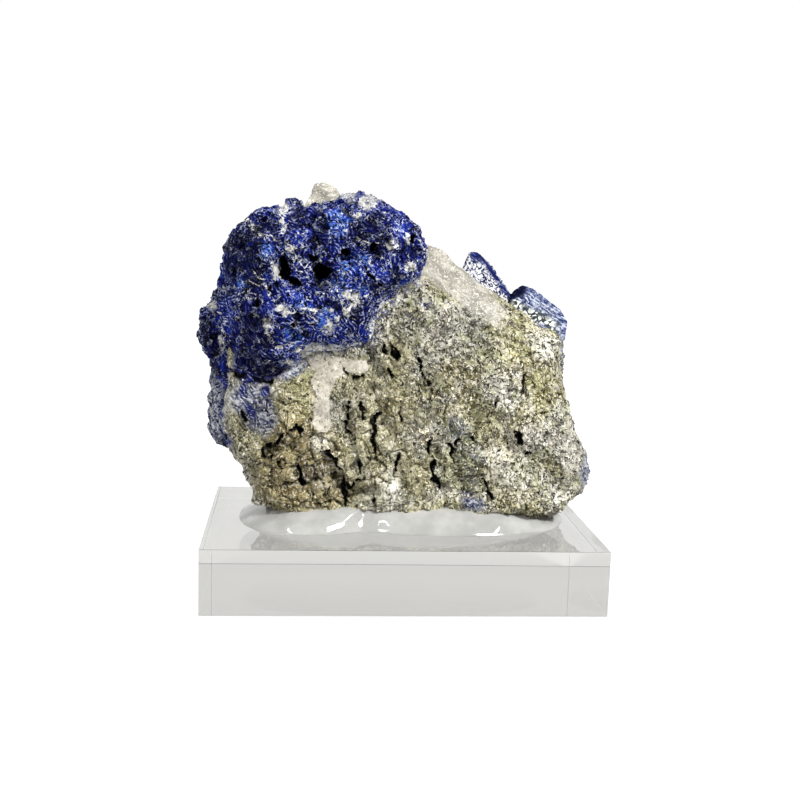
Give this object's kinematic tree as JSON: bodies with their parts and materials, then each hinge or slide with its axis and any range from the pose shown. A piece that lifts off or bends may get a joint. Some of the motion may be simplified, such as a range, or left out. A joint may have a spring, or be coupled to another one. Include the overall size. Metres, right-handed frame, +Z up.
{
  "type": "lazurite specimen",
  "caption": "Display specimen: deep blue lazurite on a granular marble and diopside matrix, set in clear adhesive on a clear acrylic block.",
  "frame": {"origin": "centre of the acrylic block's underside", "axes": "+Z up, +X along the block's long side to the viewer's right, -Y towards the viewer, who faces the side with the large blue dome"},
  "size_m": [0.1059, 0.066, 0.1042],
  "materials": {
    "clear_acrylic": "polished",
    "clear_adhesive": "glossy",
    "matrix": "rough, granular",
    "lazurite": "rough, slightly glassy"
  },
  "bodies": {
    "root": {"acrylic_block": "clear_acrylic", "adhesive_bed": "clear_adhesive", "matrix_rock": "matrix", "lazurite": "lazurite"}
  },
  "joints": []
}
